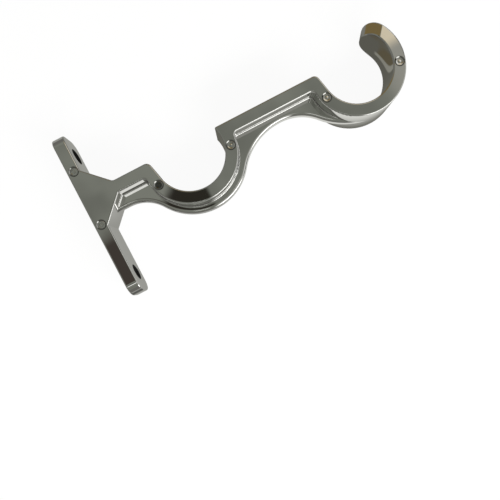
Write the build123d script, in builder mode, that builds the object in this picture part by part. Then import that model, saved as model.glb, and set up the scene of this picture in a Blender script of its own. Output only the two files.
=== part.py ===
"""Double curtain rod bracket: a wall plate, an arm and two open cups, moulded in one piece.

+X points out from the wall, +Z is up, and the rods lie along Y.
The origin is on the plate's back, midway between its two screw holes.
All lengths are in millimetres and all angles in degrees.
"""
import math
import os

from build123d import *

# the two rods and the open cups that hold them
ROD_D = 28.0
ROD_CLEARANCE = 2.0
ROD_1_X = 48.3
ROD_PITCH = 78.0
ROD_Z = 4.2
LIP_LEAN = 12.0
LIP_R = 2.5
BACK_LIP_R = 0.6
TIP_ANGLE = 51.5
TIP_FLAT = 1.0

# the full-width strip that makes the arm, the cups and the hook
DEPTH = 15.0
STRIP_T = 5.4
ARM_RISE = 5.0
CROOK_R = 1.7
GUSSET = 10.0
GUSSET_R = 2.2
END_R = 4.8
EDGE_R = 0.6

# the wall plate and its countersunk screws
PLATE_H = 73.0
PLATE_T = 5.4
SCREW_INSET = 8.75
SCREW_D = 4.0
SCREW_HEAD_D = 7.2
SCREW_ANGLE = 90.0

# the thin web under the strip
WEB_T = 3.4
WEB_RIM_FLAT = 0.2
SEAM_R = 0.6
CUP_WEB_H = 3.4
CUP_WEB_SHIFT = 0.4
ARM_WEB_H = 5.6
ARM_ARCH_R = 15.5
SPAN_WEB_H = 3.2
BACK_ARCH_R = 27.0
FRONT_ARCH_R = 20.0
FADE_SHIFT = 11.3
FADE_ANGLE = 262.0

# what the mould left: six ejector pin dishes and the stub of the gate
PIN_D = 4.1
PIN_FLOOR_D = 3.3
PIN_SINK = 0.3
PLATE_PIN_X = 3.0
UPPER_PIN_RISE = 10.5
LOWER_PIN_DROP = 8.7
BACK_PIN_ANGLE = 198.0
MIDDLE_PIN_ANGLE = -15.0
FRONT_PIN_ANGLE = -20.0
GATE_FROM_ROD = 32.0
GATE_D = 2.4
GATE_TOP_D = 1.2
GATE_H = 2.2

# sizes that follow from those
cup_r = (ROD_D + ROD_CLEARANCE) / 2
mid_r = cup_r + STRIP_T / 2
outer_r = cup_r + STRIP_T
web_r = outer_r + CUP_WEB_H
fade_r = outer_r + FADE_SHIFT
rod_2_x = ROD_1_X + ROD_PITCH
cup_1 = (ROD_1_X, ROD_Z)
cup_2 = (rod_2_x, ROD_Z)
cup_web = (ROD_1_X + CUP_WEB_SHIFT, ROD_Z)
arm_top = ROD_Z + ARM_RISE
arm_mid = arm_top - STRIP_T / 2
arm_low = arm_top - STRIP_T
screw_z = PLATE_H / 2 - SCREW_INSET
reach = 4 * (outer_r + FADE_SHIFT)
touch = 0.01


def on_circle(centre, radius, angle):
    """The point of a circle at an angle from +X."""
    a = math.radians(angle)
    return (centre[0] + radius * math.cos(a), centre[1] + radius * math.sin(a))


def half_chord(radius, height):
    """Half the width of a circle at a height over its centre."""
    return math.sqrt(radius**2 - height**2)


def arch_beside(centre, radius, arch_r, crown, side):
    """The centre of an arc that hangs under a level crown and touches a circle on one side of it."""
    z = crown - arch_r
    return (centre[0] + side * half_chord(radius + arch_r, centre[1] - z), z)


def round_corner(outline, point, radius):
    """Rounds the corner of a sketch that lies nearest to a point."""
    fillet(outline.vertices().sort_by_distance((*point, 0))[0], radius)


# each cup's wall-side lip leans back from where it leaves the cup's circle
lean = math.tan(math.radians(LIP_LEAN))
lip_foot = {cup: on_circle(cup, cup_r, 180 + LIP_LEAN) for cup in (cup_1, cup_2)}


def on_lip(cup, z):
    """The point of a cup's leaning lip at a height."""
    x, foot_z = lip_foot[cup]
    return (x - lean * (z - foot_z), z)


# the strip's outline: plate, gusset, arm, cups and hook in one
with BuildSketch(Plane.XZ) as strip_outline:
    with Locations((PLATE_T / 2, 0)):
        Rectangle(PLATE_T, PLATE_H)
    Polygon(
        (0, arm_top + GUSSET),
        (PLATE_T, arm_top + GUSSET),
        (PLATE_T + GUSSET, arm_top),
        (PLATE_T + GUSSET, arm_low),
        (PLATE_T, arm_low - GUSSET),
        (0, arm_low - GUSSET),
        align=None,
    )
    with Locations((rod_2_x / 2, arm_mid)):
        Rectangle(rod_2_x, STRIP_T)
    with Locations(cup_1, cup_2):
        Circle(outer_r)
    # the rings end level with the arm, apart from the hook
    with Locations((ROD_1_X - outer_r, arm_top)):
        Rectangle(ROD_PITCH + outer_r, reach, align=Align.MIN, mode=Mode.SUBTRACT)
    Polygon(
        cup_2,
        on_circle(cup_2, reach, TIP_ANGLE),
        (rod_2_x, reach),
        align=None,
        mode=Mode.SUBTRACT,
    )
    with Locations(cup_1, cup_2):
        Circle(cup_r, mode=Mode.SUBTRACT)
    for cup in (cup_1, cup_2):
        Polygon(
            lip_foot[cup],
            on_lip(cup, reach),
            (cup[0], reach),
            (cup[0], lip_foot[cup][1]),
            align=None,
            mode=Mode.SUBTRACT,
        )
    for cup in (cup_1, cup_2):
        round_corner(strip_outline, on_lip(cup, arm_top), LIP_R)
    round_corner(strip_outline, (ROD_1_X + half_chord(cup_r, ARM_RISE), arm_top), BACK_LIP_R)
    round_corner(strip_outline, (PLATE_T + GUSSET, arm_top), GUSSET_R)
    flank = half_chord(outer_r, arm_low - ROD_Z)
    for x in (ROD_1_X - flank, ROD_1_X + flank, rod_2_x - flank):
        round_corner(strip_outline, (x, arm_low), CROOK_R)

# the web's lower edge runs level from the gusset, then in arcs that touch each other:
# an arch, round the back cup, an arch over the span, and a wide arc that fades into the hook
arm_crown = arm_low - ARM_WEB_H
span_crown = arm_low - SPAN_WEB_H
fade = on_circle(cup_2, FADE_SHIFT, FADE_ANGLE - 180)
arm_arch = arch_beside(cup_web, web_r, ARM_ARCH_R, arm_crown, -1)
back_arch = arch_beside(cup_web, web_r, BACK_ARCH_R, span_crown, 1)
front_arch = arch_beside(fade, fade_r, FRONT_ARCH_R, span_crown, -1)


def shoulder(arch, arch_r, centre):
    """The web between an arch's crown and the round part that the arch touches."""
    with BuildSketch(Plane.XZ) as outline:
        Polygon((arch[0], arm_mid), arch, centre, align=None)
        with Locations(arch):
            Circle(arch_r, mode=Mode.SUBTRACT)
    return outline.sketch


shoulders = [
    shoulder(arm_arch, ARM_ARCH_R, cup_web),
    shoulder(back_arch, BACK_ARCH_R, cup_web),
    shoulder(front_arch, FRONT_ARCH_R, fade),
]

with BuildSketch(Plane.XZ) as web_outline:
    with Locations((PLATE_T / 2, arm_crown)):
        Rectangle(arm_arch[0] - PLATE_T / 2, arm_mid - arm_crown, align=Align.MIN)
    with Locations((back_arch[0], span_crown)):
        Rectangle(front_arch[0] - back_arch[0], arm_mid - span_crown, align=Align.MIN)
    with Locations(cup_web):
        Circle(web_r)
    with Locations(fade):
        Circle(fade_r)
    add(shoulders)
    # it starts inside the strip, and ends where it has faded out
    with Locations((0, arm_mid)):
        Rectangle(rod_2_x + reach, reach, align=Align.MIN, mode=Mode.SUBTRACT)
    with Locations(cup_1, cup_2):
        Circle(mid_r, mode=Mode.SUBTRACT)
    Polygon(
        cup_2,
        on_circle(cup_2, reach, FADE_ANGLE),
        (rod_2_x + reach, ROD_Z - reach),
        (rod_2_x + reach, arm_mid),
        (rod_2_x, arm_mid),
        align=None,
        mode=Mode.SUBTRACT,
    )

# the web rounds up into the strip on both sides, down to where it is thinner than its own rim
with BuildSketch(Plane.XZ) as seam_outline:
    add(strip_outline.sketch)
    offset(amount=SEAM_R, kind=Kind.ARC, mode=Mode.REPLACE)
    add(offset(web_outline.sketch, amount=-WEB_T / 2, mode=Mode.PRIVATE), mode=Mode.INTERSECT)

# the free space beside the web, under the strip
with BuildSketch(Plane.XZ) as recess_outline:
    with Locations((PLATE_T, arm_mid)):
        Rectangle(rod_2_x, reach, align=(Align.MIN, Align.MAX))
    add(strip_outline.sketch, mode=Mode.SUBTRACT)


def is_web_rim(edge):
    """True for an edge along the web's free lower side."""
    on_side = abs(abs(edge.center().Y) - WEB_T / 2) < touch
    if edge.geom_type == GeomType.CIRCLE:
        return on_side and abs(edge.radius - mid_r) > touch
    level = min(abs(edge.center().Z - arm_crown), abs(edge.center().Z - span_crown))
    return on_side and level < touch


def is_recess_floor(edge):
    """True for an edge where the floor of the space beside the web meets the strip."""
    middle = edge.center()
    in_width = PLATE_T + touch < middle.X < PLATE_T + rod_2_x - touch
    return abs(middle.Y) < touch and in_width and middle.Z > ROD_Z - outer_r - touch


def is_plate_corner(edge):
    """True for a corner of the plate that the wall sees."""
    return abs(abs(edge.center().Z) - PLATE_H / 2) < touch


def is_tip_corner(edge):
    """True for a corner of the hook's tip that the window sees."""
    return abs(abs(edge.center().Y) - DEPTH / 2) < touch


def is_sharp(edge):
    """True for an edge whose two faces meet at an angle."""
    middle = edge @ 0.5
    first, second = [face for face in bracket.faces() if edge in face.edges()]
    return first.normal_at(middle).get_angle(second.normal_at(middle)) > 15


def is_root_corner(edge):
    """True for a corner where the gusset meets the plate or the arm."""
    return abs(edge.center().Z) < PLATE_H / 2 - EDGE_R and edge.center().X < PLATE_T + GUSSET + EDGE_R


# the ejector pins pushed on both ends of the gusset and on the flanks of the cups
pins = [
    (PLATE_PIN_X, arm_top + UPPER_PIN_RISE),
    (PLATE_PIN_X, arm_low - LOWER_PIN_DROP),
    on_circle(cup_1, mid_r, BACK_PIN_ANGLE),
    on_circle(cup_1, mid_r, MIDDLE_PIN_ANGLE),
    on_circle(cup_2, mid_r, BACK_PIN_ANGLE),
    on_circle(cup_2, mid_r, FRONT_PIN_ANGLE),
]
tip_x, tip_z = on_circle(cup_2, mid_r, TIP_ANGLE)

with BuildPart() as web:
    extrude(web_outline.sketch, amount=WEB_T / 2, both=True)
    fillet(web.edges().filter_by(is_web_rim), (WEB_T - WEB_RIM_FLAT) / 2)

with BuildPart() as recess:
    extrude(recess_outline.sketch.faces().sort_by(SortBy.AREA)[-1], amount=2 * SEAM_R)
    fillet(recess.edges().filter_by(is_recess_floor), SEAM_R)

with BuildPart() as seam:
    extrude(seam_outline.sketch, amount=WEB_T / 2 + SEAM_R, both=True)
    near_recess = recess.part.moved(Location((0, -WEB_T / 2, 0)))
    add(near_recess, mode=Mode.SUBTRACT)
    add(mirror(near_recess, about=Plane.XZ, mode=Mode.PRIVATE), mode=Mode.SUBTRACT)

with BuildPart() as bracket:
    extrude(strip_outline.sketch, amount=DEPTH / 2, both=True)
    # the plate's ends and the hook's tip have round corners
    fillet(bracket.edges().filter_by(Axis.X).filter_by(is_plate_corner), END_R)
    tip = bracket.faces().sort_by_distance((tip_x, 0, tip_z))[0]
    fillet(tip.edges().filter_by(is_tip_corner), (DEPTH - TIP_FLAT) / 2)
    # every other sharp edge is broken, except in the crooks of the gusset
    sharp = bracket.edges().filter_by(is_sharp)
    fillet(sharp - sharp.filter_by(Axis.Y).filter_by(is_root_corner), EDGE_R)
    add(web.part)
    add(seam.part)
    # the screws go in from the front
    with Locations(Plane((PLATE_T, 0, 0), x_dir=(0, 1, 0), z_dir=(1, 0, 0))):
        with Locations((0, screw_z), (0, -screw_z)):
            CounterSinkHole(SCREW_D / 2, SCREW_HEAD_D / 2, counter_sink_angle=SCREW_ANGLE)
    # the pins left shallow dishes on one side only
    with Locations(Plane((0, -DEPTH / 2, 0), x_dir=(1, 0, 0), z_dir=(0, -1, 0))):
        with Locations(*pins):
            Cone(
                PIN_FLOOR_D / 2,
                PIN_D / 2,
                PIN_SINK,
                align=(Align.CENTER, Align.CENTER, Align.MAX),
                mode=Mode.SUBTRACT,
            )
    # the gate was snapped off above the arm, between the cups
    with Locations((ROD_1_X + GATE_FROM_ROD, 0, arm_top)):
        Cone(
            GATE_D / 2,
            GATE_TOP_D / 2,
            GATE_H,
            align=(Align.CENTER, Align.CENTER, Align.MIN),
        )

bracket.part.label = "bracket"
os.makedirs("parts", exist_ok=True)
export_step(bracket.part, "parts/bracket.step")
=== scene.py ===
"""Dresses a chrome double curtain rod bracket and sets up its studio.

The bracket lies on its side on a white table, as for a catalogue picture, so the table's
upward direction is the bracket's own -Y. All lengths are in metres.
"""
import math

import bpy
from bpy.props import FloatProperty, FloatVectorProperty, PointerProperty
from bpy.types import Operator, Panel, PropertyGroup
from mathutils import Matrix, Vector


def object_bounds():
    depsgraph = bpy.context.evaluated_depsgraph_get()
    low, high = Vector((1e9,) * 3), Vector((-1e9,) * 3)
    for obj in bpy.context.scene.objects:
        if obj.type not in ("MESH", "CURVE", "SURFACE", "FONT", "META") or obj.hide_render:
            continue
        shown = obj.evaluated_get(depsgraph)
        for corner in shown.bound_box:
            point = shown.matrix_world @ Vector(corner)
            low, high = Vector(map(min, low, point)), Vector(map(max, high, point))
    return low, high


bl_info = {
    "name": "Chrome rod bracket",
    "version": (1, 0, 0),
    "blender": (4, 5, 0),
    "location": "3D View > Sidebar > Bracket",
    "description": "Plates a double curtain rod bracket and lights it on a white table",
    "category": "Object",
}

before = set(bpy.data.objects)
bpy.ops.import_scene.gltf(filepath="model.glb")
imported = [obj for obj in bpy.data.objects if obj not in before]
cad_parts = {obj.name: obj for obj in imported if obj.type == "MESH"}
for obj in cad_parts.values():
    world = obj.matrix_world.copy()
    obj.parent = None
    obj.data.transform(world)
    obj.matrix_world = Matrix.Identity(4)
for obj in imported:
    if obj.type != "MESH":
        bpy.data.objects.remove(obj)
CAD_LOW, CAD_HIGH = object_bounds()
NODE = "bracket"

WHITE = (1.0, 1.0, 1.0, 1.0)
STEADY = 1.0  # strength at which a glow shows its colour as written

# the mould's six pin marks on the side face, and the middles of the two cups, as X and Z
PINS = (
    (0.003, 0.0197),
    (0.003, -0.0049),
    (0.03147, -0.00127),
    (0.0654, -0.00038),
    (0.10947, -0.00127),
    (0.14293, -0.00185),
)
STAINED_PINS = PINS[2:3]
CUPS = (
    (0.0483, 0.0042),
    (0.1263, 0.0042),
)

# In all that follows, two numbers go from none to full, and four go on from full to none.

# the side face along Y, the rings of a pin mark by their distance from its middle, and how
# strong or how wide the marks and the holes are
SIDE_FACE = (-0.0066, -0.0068)
PIN_MARK = (0.0022, 0.0021)
PIN_RIM = (0.0013, 0.0017, 0.0021, 0.0023)
PIN_STAIN = (0.0018, 0.0012)
PIN_FLOOR_FULL = 0.9
RIM_SHARE = 0.65
STAIN_SHARE = 0.85
PIN_DULLER = 0.12
HOLE_DULLER = 0.5
HOLE_RIM = 1.02
HOLE_EDGE = 0.0001
WAVE_DETAIL = 1.0

# places of the painted light, shade and shadow and of the bands on the mirrored table, by X, by Z or by
# the distance from the nearest cup's middle
LIT_X = (0.04, 0.1)
LIT_Z = (0.006, -0.006)
PLATE_SHADOW_X = (0.016, 0.006)
CUP_SHADOW = (0.027, 0.0195)
IN_HOOK_X = (0.128, 0.133)
BROWN_BAND = (0.0119, 0.0116)
BROWN_BAND_Z = (0.0088, 0.008)
STREAK = (0.0115, 0.0119, 0.0125, 0.0129)
STREAK_Z = (0.0095, 0.0085)

# what the ceiling holds, by the slopes across (X) and along (Z) from straight over the table
CEILING_HEIGHT = (0.45, 0.65)
CLOUD_SCALE = 9.0
CLOUD_DETAIL = 2.0
CLOUD_SPAN = (0.3, 0.7)
CEILING_TONES = (0.84, 1.14)
HOOD_ACROSS = (-0.36, -0.32, 0.004, 0.016)
HOOD_NEAR_END = (0.05, 0.08)
HOOD_FAR_END = (0.308, 0.272)
HOOD_SLANT = 0.176
HOOD_RAGGED = 0.1
HOOD_TONES_ACROSS = (-0.2, -0.06)
SHELF_ACROSS = (0.05, 0.15)
SHELF_ALONG = (0.41, 0.47, 1.1, 1.6)
PALE_ACROSS = (0.47, 0.54)
CREAM_ALONG = (0.315, 0.352)
BRIGHT_ACROSS = (0.0, 0.1)
BRIGHT_ALONG = (-0.15, -0.22)
TUBE_ACROSS = (-0.31, -0.26, -0.1, -0.05)
TUBE_ALONG = (-0.37, -0.34, -0.28, -0.25)

# what the walls hold, by the slope upwards and by the slope sideways
LIT_SIDEWAYS = (-0.1, 0.25)
DARK_WALL_Z = (0.0, -0.3)
WINDOW_UP = (0.2, 0.4, 0.75, 1.15)
WINDOW_END = (1.8, 0.9)
DOOR_UP = (0.3, 0.55, 0.8, 1.2)
DOOR_SIDEWAYS = (-0.9, -0.4, 0.4, 0.9)
UNDER_TABLE = (0.0, 0.05)
UNDER_TABLE_TONES = (0.3, 0.9)
LEAST_RUN = 0.05  # keeps a slope finite

# the two cards' middles, half lengths and tilt, and the share of a half length that is solid
BROWN_CARD = {"middle": (0.135, -0.025, 0.04), "half": (0.013, 0.033), "tilt": 0.0}
# the card lying on the table by the plate's foot is painted shade, which only mirrors see
FOOT_SHADE_CARD = {
    "middle": (-0.005, CAD_HIGH.y - 0.0006, -0.068),
    "half": (0.032, 0.026),
    "tilt": math.pi / 2,
}
CARD_SOLID = (0.62, 0.79)

TABLE_SINK = 0.0001  # how far the bracket's far side sinks into the table
CAMERA_HEIGHT = 0.17714
SENSOR_WIDTH = 36.0
NEAREST_SEEN = 0.01


class Wire:
    """An output socket, on which Python's operators add Math nodes."""

    def __init__(self, bench, socket):
        self.bench = bench
        self.socket = socket

    def reckon(self, operation, *values):
        return self.bench.node("ShaderNodeMath", {"operation": operation}, dict(enumerate(values)))

    def __add__(self, other):
        return self.reckon("ADD", self, other)

    def __radd__(self, other):
        return self.reckon("ADD", other, self)

    def __sub__(self, other):
        return self.reckon("SUBTRACT", self, other)

    def __rsub__(self, other):
        return self.reckon("SUBTRACT", other, self)

    def __mul__(self, other):
        return self.reckon("MULTIPLY", self, other)

    def __rmul__(self, other):
        return self.reckon("MULTIPLY", other, self)

    def __truediv__(self, other):
        return self.reckon("DIVIDE", self, other)

    def __rtruediv__(self, other):
        return self.reckon("DIVIDE", other, self)

    def __pow__(self, other):
        return self.reckon("POWER", self, other)

    def __rpow__(self, other):
        return self.reckon("POWER", other, self)

    def __neg__(self):
        return self.reckon("MULTIPLY", self, -1.0)

    def __abs__(self):
        return self.reckon("ABSOLUTE", self)

    def cosine(self):
        return self.reckon("COSINE", self)

    def at_least(self, other):
        return self.reckon("MAXIMUM", self, other)

    def at_most(self, other):
        return self.reckon("MINIMUM", self, other)

    def rise(self, start, full):
        """A smooth step from 0 at start to 1 at full; start may be the greater."""
        low, high = min(start, full), max(start, full)
        rising = start < full
        return self.bench.node(
            "ShaderNodeMapRange",
            {"interpolation_type": "SMOOTHSTEP", "clamp": True},
            {
                "Value": self,
                "From Min": low,
                "From Max": high,
                "To Min": 0.0 if rising else 1.0,
                "To Max": 1.0 if rising else 0.0,
            },
        )

    def band(self, start, full, fading, end):
        """A smooth step up to 1 and down again."""
        return self.rise(start, full) * self.rise(end, fading)


class Bench:
    """A node tree under construction."""

    def __init__(self, tree):
        self.tree = tree
        tree.nodes.clear()

    def node(self, kind, settings=None, sockets=None, out=0):
        """Adds a node: its settings first, then its inputs by place or name; gives one output."""
        made = self.tree.nodes.new(kind)
        for key, value in (settings or {}).items():
            setattr(made, key, value)
        for key, value in (sockets or {}).items():
            if isinstance(value, Wire):
                self.tree.links.new(value.socket, made.inputs[key])
            else:
                made.inputs[key].default_value = value
        return Wire(self, made.outputs[out]) if made.outputs else None

    def mix_color(self, factor, a, b):
        """Blends two colours by a factor."""
        return self.node("ShaderNodeMix", {"data_type": "RGBA"}, {0: factor, 6: a, 7: b}, out=2)

    def mix_shader(self, factor, a, b):
        """Blends two shaders by a factor."""
        return self.node("ShaderNodeMixShader", None, {0: factor, 1: a, 2: b})

    def glow(self, shown):
        """A shader that shows a colour as it is written, in any light."""
        return self.node("ShaderNodeEmission", None, {"Color": shown, "Strength": STEADY})

    def noise(self, place, scale, detail):
        """Soft random clouds from 0 to 1."""
        sockets = {"Vector": place, "Scale": scale, "Detail": detail}
        return self.node("ShaderNodeTexNoise", {"noise_dimensions": "3D"}, sockets)

    def place(self):
        """The place on the object, in its own coordinates."""
        return self.node("ShaderNodeTexCoord", out="Object")

    def axes(self, vector):
        """The three parts of a vector."""
        first = self.node("ShaderNodeSeparateXYZ", None, {0: vector})
        return [Wire(self, socket) for socket in first.socket.node.outputs]


def nearest(x, z, spots):
    """The distance in the side view to the nearest of some spots."""
    least = None
    for spot_x, spot_z in spots:
        dx = x - spot_x
        dz = z - spot_z
        gap = (dx * dx + dz * dz) ** 0.5
        least = gap if least is None else least.at_most(gap)
    return least


def colour(value, tone=1.0):
    """A colour property as four numbers, made darker or brighter by a tone."""
    return (*(tone * part for part in value), 1.0)


def paint(name, description, default, most=1.0):
    """A colour that a user may change."""
    return FloatVectorProperty(
        name=name,
        description=description,
        subtype="COLOR",
        size=3,
        min=0.0,
        max=most,
        default=default,
    )


def length(name, description, default):
    """A length that a user may change."""
    return FloatProperty(name=name, description=description, unit="LENGTH", default=default)


def share(name, description, default):
    """A number from 0 to 1 that a user may change."""
    return FloatProperty(
        name=name,
        description=description,
        subtype="FACTOR",
        min=0.0,
        max=1.0,
        default=default,
    )


def place(name, description, default):
    """A point that a user may change."""
    return FloatVectorProperty(
        name=name,
        description=description,
        subtype="XYZ",
        unit="LENGTH",
        size=3,
        default=default,
    )


class PlatingSettings(PropertyGroup):
    """The bracket's finish, with painted shade in the screw holes."""

    metal: paint("Metal", "Colour of the chrome plate seen straight on", (0.62, 0.62, 0.61))
    # painted shade inside the screw holes, over plating that is thin and dull there
    hole_shade: paint("Hole shade", "Colour inside the screw holes, where the plating is thin", (0.02, 0.02, 0.02))
    rim: paint("Rim", "Colour of the dull ring round a pin mark", (0.1, 0.1, 0.09))
    stain: paint("Stain", "Colour of the stain in a pin mark", (0.05, 0.05, 0.045))
    roughness: share("Roughness", "Roughness of the plate", 0.025)
    wave_length: length("Wave length", "Distance between the slow waves in the surface", 0.012)
    wave_height: length("Wave height", "Height of the slow waves in the surface", 0.00002)
    head_radius: length("Head radius", "Radius of the countersinks for the screws' heads", 0.0036)
    hole_height: length("Hole height", "Height of the upper screw hole over the plate's middle", 0.02775)
    plate_thickness: length("Plate thickness", "Thickness of the wall plate", 0.0054)
    pin_radius: length("Pin radius", "Radius of the floor of the mould's pin marks", 0.00165)
    pin_groove: length("Pin groove", "Distance between the turned rings in a pin mark", 0.0016)
    pin_relief: length("Pin relief", "Height of the turned rings in a pin mark", 0.00006)


class StageSettings(PropertyGroup):
    """The table, the room, the light and the camera."""

    table_size: length("Table size", "Length of each side of the table", 3.0)
    table_white: share("Table white", "Share of the table's white that no shadow darkens", 0.94)
    table_paint: paint("Table paint", "Colour of the table where light falls on it", (0.9, 0.9, 0.9))
    # the table as the chrome mirrors it: painted light by the arm and the hook, painted shade away from
    # the lamp, painted shadow by the plate and the cups
    painted_light_by_arm: paint("By the arm", "Mirrored table on the lamp's side of the arm", (0.56, 0.56, 0.53))
    painted_light_by_hook: paint("By the hook", "Mirrored table on the lamp's side of the hook", (0.97, 0.975, 0.925))
    shaded: paint("Shaded", "Mirrored table on the side away from the lamp", (0.27, 0.27, 0.245))
    plate_shadow: paint("By the plate", "Mirrored table close to the plate", (0.43, 0.43, 0.4))
    cup_shadow: paint("In the cups", "Mirrored table in and close to the cups", (0.15, 0.147, 0.124))
    brown_band: paint("Brown band", "Mirrored band in the hook", (0.145, 0.125, 0.08))
    streak: paint("Streak", "Mirrored light streak in the hook", (0.33, 0.325, 0.28))
    brown: paint("Brown", "Colour of the shelf and of the card by the hook", (0.24, 0.178, 0.075))
    # painted shade on the table by the plate's foot, as a dark card
    foot_shade: paint("Grey", "Colour of the card by the plate's foot", (0.15, 0.15, 0.14))
    ceiling: paint("Ceiling", "Colour of the room over the table", (0.252, 0.261, 0.226))
    hood_brown: paint("Hood brown", "Colour of the hood's side over the plate", (0.075, 0.062, 0.053))
    hood_black: paint("Hood black", "Colour of the hood's side over the cups", (0.034, 0.031, 0.024))
    pale: paint("Pale", "Colour of the ceiling past the arm's end", (0.42, 0.415, 0.37))
    cream: paint("Cream", "Colour of the ceiling past the hook's tip", (0.93, 0.82, 0.62))
    bright: paint("Bright", "Colour of the ceiling on the lamp's side", (0.5, 0.5, 0.46))
    dark_wall: paint("Dark wall", "Colour of the wall under the window", (0.006, 0.006, 0.005))
    far_wall: paint("Far wall", "Colour of the wall away from the lamp", (0.2, 0.195, 0.18))
    tube: paint("Tube", "Light of the tube on the ceiling", (1.6, 1.6, 1.55), most=40.0)
    window: paint("Window", "Light of the window on the lamp's side", (3.4, 3.4, 3.3), most=40.0)
    door: paint("Door", "Light of the door past the arm's end", (1.05, 1.05, 1.02), most=40.0)
    lamp_power: FloatProperty(
        name="Lamp power",
        description="Power of the long lamp beside the table",
        unit="POWER",
        default=15.0,
    )
    lamp_place: place("Lamp place", "Middle of the long lamp", (0.2, -0.4, -0.75))
    lamp_length: length("Lamp length", "Length of the lamp along the bracket's arm", 1.0)
    lamp_width: length("Lamp width", "Width of the lamp", 0.2)
    camera_place: place(
        "Camera place",
        "Where the camera hangs over the table",
        (0.046735, CAD_LOW.y - CAMERA_HEIGHT, -0.053277),
    )
    camera_roll: FloatProperty(
        name="Camera roll",
        description="How far the arm rises to the right in the picture",
        subtype="ANGLE",
        default=math.radians(27.5),
    )
    focal: FloatProperty(
        name="Focal length",
        description="Focal length in picture widths",
        default=431.0 / 500.0,
    )
    shift: FloatProperty(
        name="Shift",
        description="Shift of the picture upwards in picture widths",
        default=30.0 / 500.0,
    )


class BRACKET_OT_plating(Operator):
    """Plates the bracket with slightly wavy bright chrome, and paints shade in the screw holes."""

    bl_idname = "bracket.plating"
    bl_label = "Plate the bracket"

    def execute(self, context):
        s = context.scene.bracket_plating
        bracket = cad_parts[NODE]
        material = bpy.data.materials.new("plating")
        material.use_nodes = True
        bench = Bench(material.node_tree)
        spot = bench.place()
        x, y, z = bench.axes(spot)

        across = abs(z) - s.hole_height
        from_axis = (across * across + y * y) ** 0.5
        in_hole = from_axis.rise(s.head_radius * HOLE_RIM, s.head_radius)
        thickness = s.plate_thickness
        in_hole = in_hole * x.band(0.0, HOLE_EDGE, thickness - HOLE_EDGE, thickness)

        from_pin = nearest(x, z, PINS)
        on_side = y.rise(*SIDE_FACE)
        on_pin = from_pin.rise(*PIN_MARK) * on_side
        on_rim = from_pin.band(*PIN_RIM) * on_side
        on_floor = from_pin.rise(s.pin_radius, s.pin_radius * PIN_FLOOR_FULL) * on_side
        on_stain = nearest(x, z, STAINED_PINS).rise(*PIN_STAIN) * on_side
        metal = bench.mix_color(on_rim * RIM_SHARE, colour(s.metal), colour(s.rim))
        metal = bench.mix_color(on_stain * STAIN_SHARE, metal, colour(s.stain))

        waves = bench.noise(spot, 1.0 / s.wave_length, WAVE_DETAIL)
        turned = (from_pin * (2.0 * math.pi / s.pin_groove)).cosine()
        relief = waves * s.wave_height + on_floor * turned * s.pin_relief
        bump = bench.node("ShaderNodeBump", None, {"Strength": 1.0, "Distance": 1.0, "Height": relief})
        shader = bench.node(
            "ShaderNodeBsdfPrincipled",
            None,
            {
                # inside the screw holes the colour is painted shade, and the thin plating there is
                # rougher
                "Base Color": bench.mix_color(in_hole, metal, colour(s.hole_shade)),
                "Metallic": 1.0,
                "Roughness": s.roughness + in_hole * HOLE_DULLER + on_pin * PIN_DULLER,
                "Normal": bump,
            },
        )
        bench.node("ShaderNodeOutputMaterial", None, {"Surface": shader})
        bracket.data.materials.clear()
        bracket.data.materials.append(material)
        return {"FINISHED"}


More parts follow.
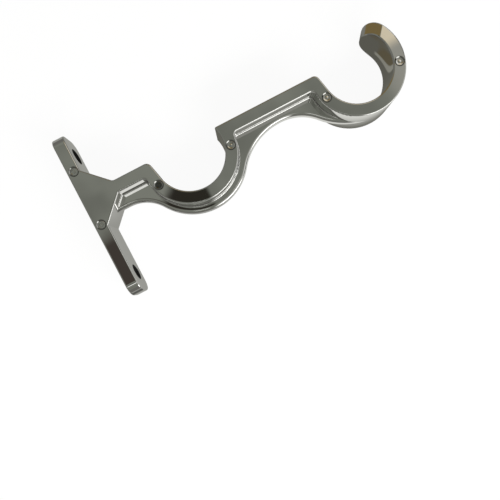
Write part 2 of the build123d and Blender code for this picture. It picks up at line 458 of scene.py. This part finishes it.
class BRACKET_OT_stage(Operator):
    """Lays the table and two cards, lights the room and places the camera."""

    bl_idname = "bracket.stage"
    bl_label = "Set the stage"

    def execute(self, context):
        s = context.scene.bracket_stage
        self.lay_table(s)
        self.card("brown card", s.brown, **BROWN_CARD)
        # a dark card by the plate's foot as painted shade on the table
        self.card("foot shade card", s.foot_shade, **FOOT_SHADE_CARD)
        self.light_room(context.scene, s)
        self.hang_lamp(context.scene, s)
        self.place_camera(context.scene, s)
        context.scene.view_settings.view_transform = "Standard"
        return {"FINISHED"}

    def lay_table(self, s):
        """Lays a white table that can't be seen from below, with painted light and shade, a brown band
        and a streak in mirrors.
        """
        bpy.ops.object.select_all(action="DESELECT")
        bpy.ops.mesh.primitive_plane_add(
            size=s.table_size,
            location=(CAD_HIGH.x / 2, CAD_HIGH.y - TABLE_SINK, 0.0),
            rotation=(math.pi / 2, 0.0, 0.0),
        )
        table = bpy.context.active_object
        table.name = "table"
        bpy.ops.object.transform_apply(location=True, rotation=True, scale=True)
        material = bpy.data.materials.new("table")
        material.use_nodes = True
        bench = Bench(material.node_tree)
        camera_ray = bench.node("ShaderNodeLightPath", out="Is Camera Ray")
        glossy_ray = bench.node("ShaderNodeLightPath", out="Is Glossy Ray")
        matt = bench.node("ShaderNodeBsdfDiffuse", None, {"Color": colour(s.table_paint)})
        seen = bench.mix_shader(camera_ray * s.table_white, matt, bench.glow(WHITE))
        front = bench.mix_shader(glossy_ray, seen, bench.glow(self.mirrored_table(bench, s)))
        back = bench.node("ShaderNodeBsdfTransparent")
        behind = bench.node("ShaderNodeNewGeometry", out="Backfacing")
        bench.node("ShaderNodeOutputMaterial", None, {"Surface": bench.mix_shader(behind, front, back)})
        table.data.materials.append(material)

    def mirrored_table(self, bench, s):
        """The table's colour in the chrome: painted light on the lamp's side, painted shade away from
        the lamp and painted shadow close to the bracket.
        """
        x, _, z = bench.axes(bench.place())
        from_cup = nearest(x, z, CUPS)
        in_hook = x.rise(*IN_HOOK_X)
        # painted light on the lamp's side of the table, brighter by the hook
        lit = bench.mix_color(x.rise(*LIT_X), colour(s.painted_light_by_arm), colour(s.painted_light_by_hook))
        top = bench.mix_color(z.rise(*LIT_Z), colour(s.shaded), lit)
        # painted shadow on the mirrored table close to the plate
        top = bench.mix_color(x.rise(*PLATE_SHADOW_X), top, colour(s.plate_shadow))
        # painted shadow on the mirrored table in and close to the cups
        top = bench.mix_color(from_cup.rise(*CUP_SHADOW), top, colour(s.cup_shadow))
        brown = from_cup.rise(*BROWN_BAND) * z.rise(*BROWN_BAND_Z) * in_hook
        top = bench.mix_color(brown, top, colour(s.brown_band))
        streak = from_cup.band(*STREAK) * z.rise(*STREAK_Z) * in_hook
        return bench.mix_color(streak, top, colour(s.streak))

    def card(self, name, shown, middle, half, tilt):
        """Adds a flat card with soft edges that only mirrors see."""
        bpy.ops.object.select_all(action="DESELECT")
        bpy.ops.mesh.primitive_plane_add(size=2.0, location=middle, rotation=(tilt, 0.0, 0.0))
        made = bpy.context.active_object
        made.name = name
        made.scale = (*half, 1.0)
        bpy.ops.object.transform_apply(location=True, rotation=True, scale=True)
        material = bpy.data.materials.new(name)
        material.use_nodes = True
        bench = Bench(material.node_tree)
        x, y, z = bench.axes(bench.place())
        along, centre = (z, middle[2]) if tilt else (y, middle[1])
        solid = abs(x - middle[0]).rise(half[0], half[0] * CARD_SOLID[0])
        solid = solid * abs(along - centre).rise(half[1], half[1] * CARD_SOLID[1])
        clear = bench.node("ShaderNodeBsdfTransparent")
        surface = bench.mix_shader(solid, clear, bench.glow(colour(shown)))
        bench.node("ShaderNodeOutputMaterial", None, {"Surface": surface})
        made.data.materials.append(material)
        made.visible_camera = False
        made.visible_diffuse = False
        made.visible_shadow = False

    def light_room(self, scene, s):
        """Gives the chrome a room to mirror, which the camera sees as plain white."""
        world = bpy.data.worlds.new("room")
        scene.world = world
        world.use_nodes = True
        bench = Bench(world.node_tree)
        direction = bench.node("ShaderNodeTexCoord", out="Generated")
        x, y, z = bench.axes(direction)
        height = -y
        overhead = height.rise(*CEILING_HEIGHT)
        slope = height.at_least(LEAST_RUN)
        across = x / slope
        along = z / slope
        side = (-z).at_least(LEAST_RUN)
        bearing = x / side
        lit_side = bearing.rise(*LIT_SIDEWAYS)

        ceiling = self.ceiling(bench, s, direction, across, along)
        dark = z.rise(*DARK_WALL_Z) * lit_side
        wall = bench.mix_color(dark, colour(s.far_wall), colour(s.dark_wall))
        room = bench.mix_color(overhead, wall, ceiling)
        bright = along.rise(*BRIGHT_ALONG) * across.rise(*BRIGHT_ACROSS) * overhead
        room = bench.mix_color(bright, room, colour(s.bright))
        tube = along.band(*TUBE_ALONG) * across.band(*TUBE_ACROSS)
        room = bench.mix_color(tube, room, colour(s.tube))

        window = (height / side).band(*WINDOW_UP) * lit_side * bearing.rise(*WINDOW_END)
        window = window * z.rise(0.0, -LEAST_RUN)
        room = bench.mix_color(window, room, colour(s.window))
        front = x.at_least(LEAST_RUN)
        door = (height / front).band(*DOOR_UP) * (z / front).band(*DOOR_SIDEWAYS)
        door = door * x.rise(0.0, LEAST_RUN)
        room = bench.mix_color(door, room, colour(s.door))

        under = bench.mix_color(y.rise(*UNDER_TABLE_TONES), colour(s.far_wall), colour(s.ceiling))
        room = bench.mix_color(y.rise(*UNDER_TABLE), room, under)
        camera_ray = bench.node("ShaderNodeLightPath", out="Is Camera Ray")
        seen = bench.mix_color(camera_ray, room, WHITE)
        shown = bench.node("ShaderNodeBackground", None, {"Color": seen, "Strength": STEADY})
        bench.node("ShaderNodeOutputWorld", None, {"Surface": shown})

    def ceiling(self, bench, s, direction, across, along):
        """The ceiling's colour: cloudy, with a dark hood, a brown shelf and paler ends."""
        cloud = bench.noise(direction, CLOUD_SCALE, CLOUD_DETAIL)
        darkest, brightest = CEILING_TONES
        over = bench.mix_color(
            cloud.rise(*CLOUD_SPAN),
            colour(s.ceiling, darkest),
            colour(s.ceiling, brightest),
        )
        far_end = along - across * HOOD_SLANT + (cloud - 0.5) * HOOD_RAGGED
        hood = across.band(*HOOD_ACROSS) * along.rise(*HOOD_NEAR_END) * far_end.rise(*HOOD_FAR_END)
        hood_tone = across.rise(*HOOD_TONES_ACROSS)
        hood_colour = bench.mix_color(hood_tone, colour(s.hood_brown), colour(s.hood_black))
        over = bench.mix_color(hood, over, hood_colour)
        shelf = across.rise(*SHELF_ACROSS) * along.band(*SHELF_ALONG)
        over = bench.mix_color(shelf, over, colour(s.brown))
        pale = across.rise(*PALE_ACROSS)
        over = bench.mix_color(pale, over, colour(s.pale))
        return bench.mix_color(pale * along.rise(*CREAM_ALONG), over, colour(s.cream))

    def hang_lamp(self, scene, s):
        """Hangs a long lamp beside the table, which lights it and isn't mirrored."""
        lamp = bpy.data.lights.new("long lamp", "AREA")
        lamp.shape = "RECTANGLE"
        lamp.size = s.lamp_length
        lamp.size_y = s.lamp_width
        lamp.energy = s.lamp_power
        holder = bpy.data.objects.new("long lamp", lamp)
        scene.collection.objects.link(holder)
        holder.location = s.lamp_place
        aim = Vector((s.lamp_place[0], 0.0, 0.0)) - holder.location
        holder.rotation_mode = "QUATERNION"
        holder.rotation_quaternion = aim.to_track_quat("-Z", "Y")
        holder.visible_camera = False
        holder.visible_glossy = False

    def place_camera(self, scene, s):
        """Hangs the camera straight over the table, rolled so that the arm rises."""
        data = bpy.data.cameras.new("camera")
        data.sensor_width = SENSOR_WIDTH
        data.lens = s.focal * SENSOR_WIDTH
        data.shift_y = s.shift
        data.clip_start = NEAREST_SEEN
        camera = bpy.data.objects.new("camera", data)
        scene.collection.objects.link(camera)
        right = Vector((math.cos(s.camera_roll), 0.0, -math.sin(s.camera_roll)))
        up = Vector((math.sin(s.camera_roll), 0.0, math.cos(s.camera_roll)))
        back = Vector((0.0, -1.0, 0.0))
        turn = Matrix((right, up, back)).transposed()
        camera.matrix_world = Matrix.Translation(s.camera_place) @ turn.to_4x4()
        scene.camera = camera


class BRACKET_PT_panel(Panel):
    """The steps in order, with their settings."""

    bl_idname = "BRACKET_PT_panel"
    bl_label = "Rod bracket"
    bl_space_type = "VIEW_3D"
    bl_region_type = "UI"
    bl_category = "Bracket"

    def draw(self, context):
        steps = (
            (BRACKET_OT_plating, context.scene.bracket_plating),
            (BRACKET_OT_stage, context.scene.bracket_stage),
        )
        for step, settings in steps:
            box = self.layout.box()
            for name in settings.__annotations__:
                box.prop(settings, name)
            box.operator(step.bl_idname)


CLASSES = (
    PlatingSettings,
    StageSettings,
    BRACKET_OT_plating,
    BRACKET_OT_stage,
    BRACKET_PT_panel,
)


def register():
    for cls in CLASSES:
        bpy.utils.register_class(cls)
    bpy.types.Scene.bracket_plating = PointerProperty(type=PlatingSettings)
    bpy.types.Scene.bracket_stage = PointerProperty(type=StageSettings)


def unregister():
    del bpy.types.Scene.bracket_stage
    del bpy.types.Scene.bracket_plating
    for cls in reversed(CLASSES):
        bpy.utils.unregister_class(cls)


def main():
    register()
    bpy.ops.bracket.plating()
    bpy.ops.bracket.stage()


if __name__ == "__main__":
    main()
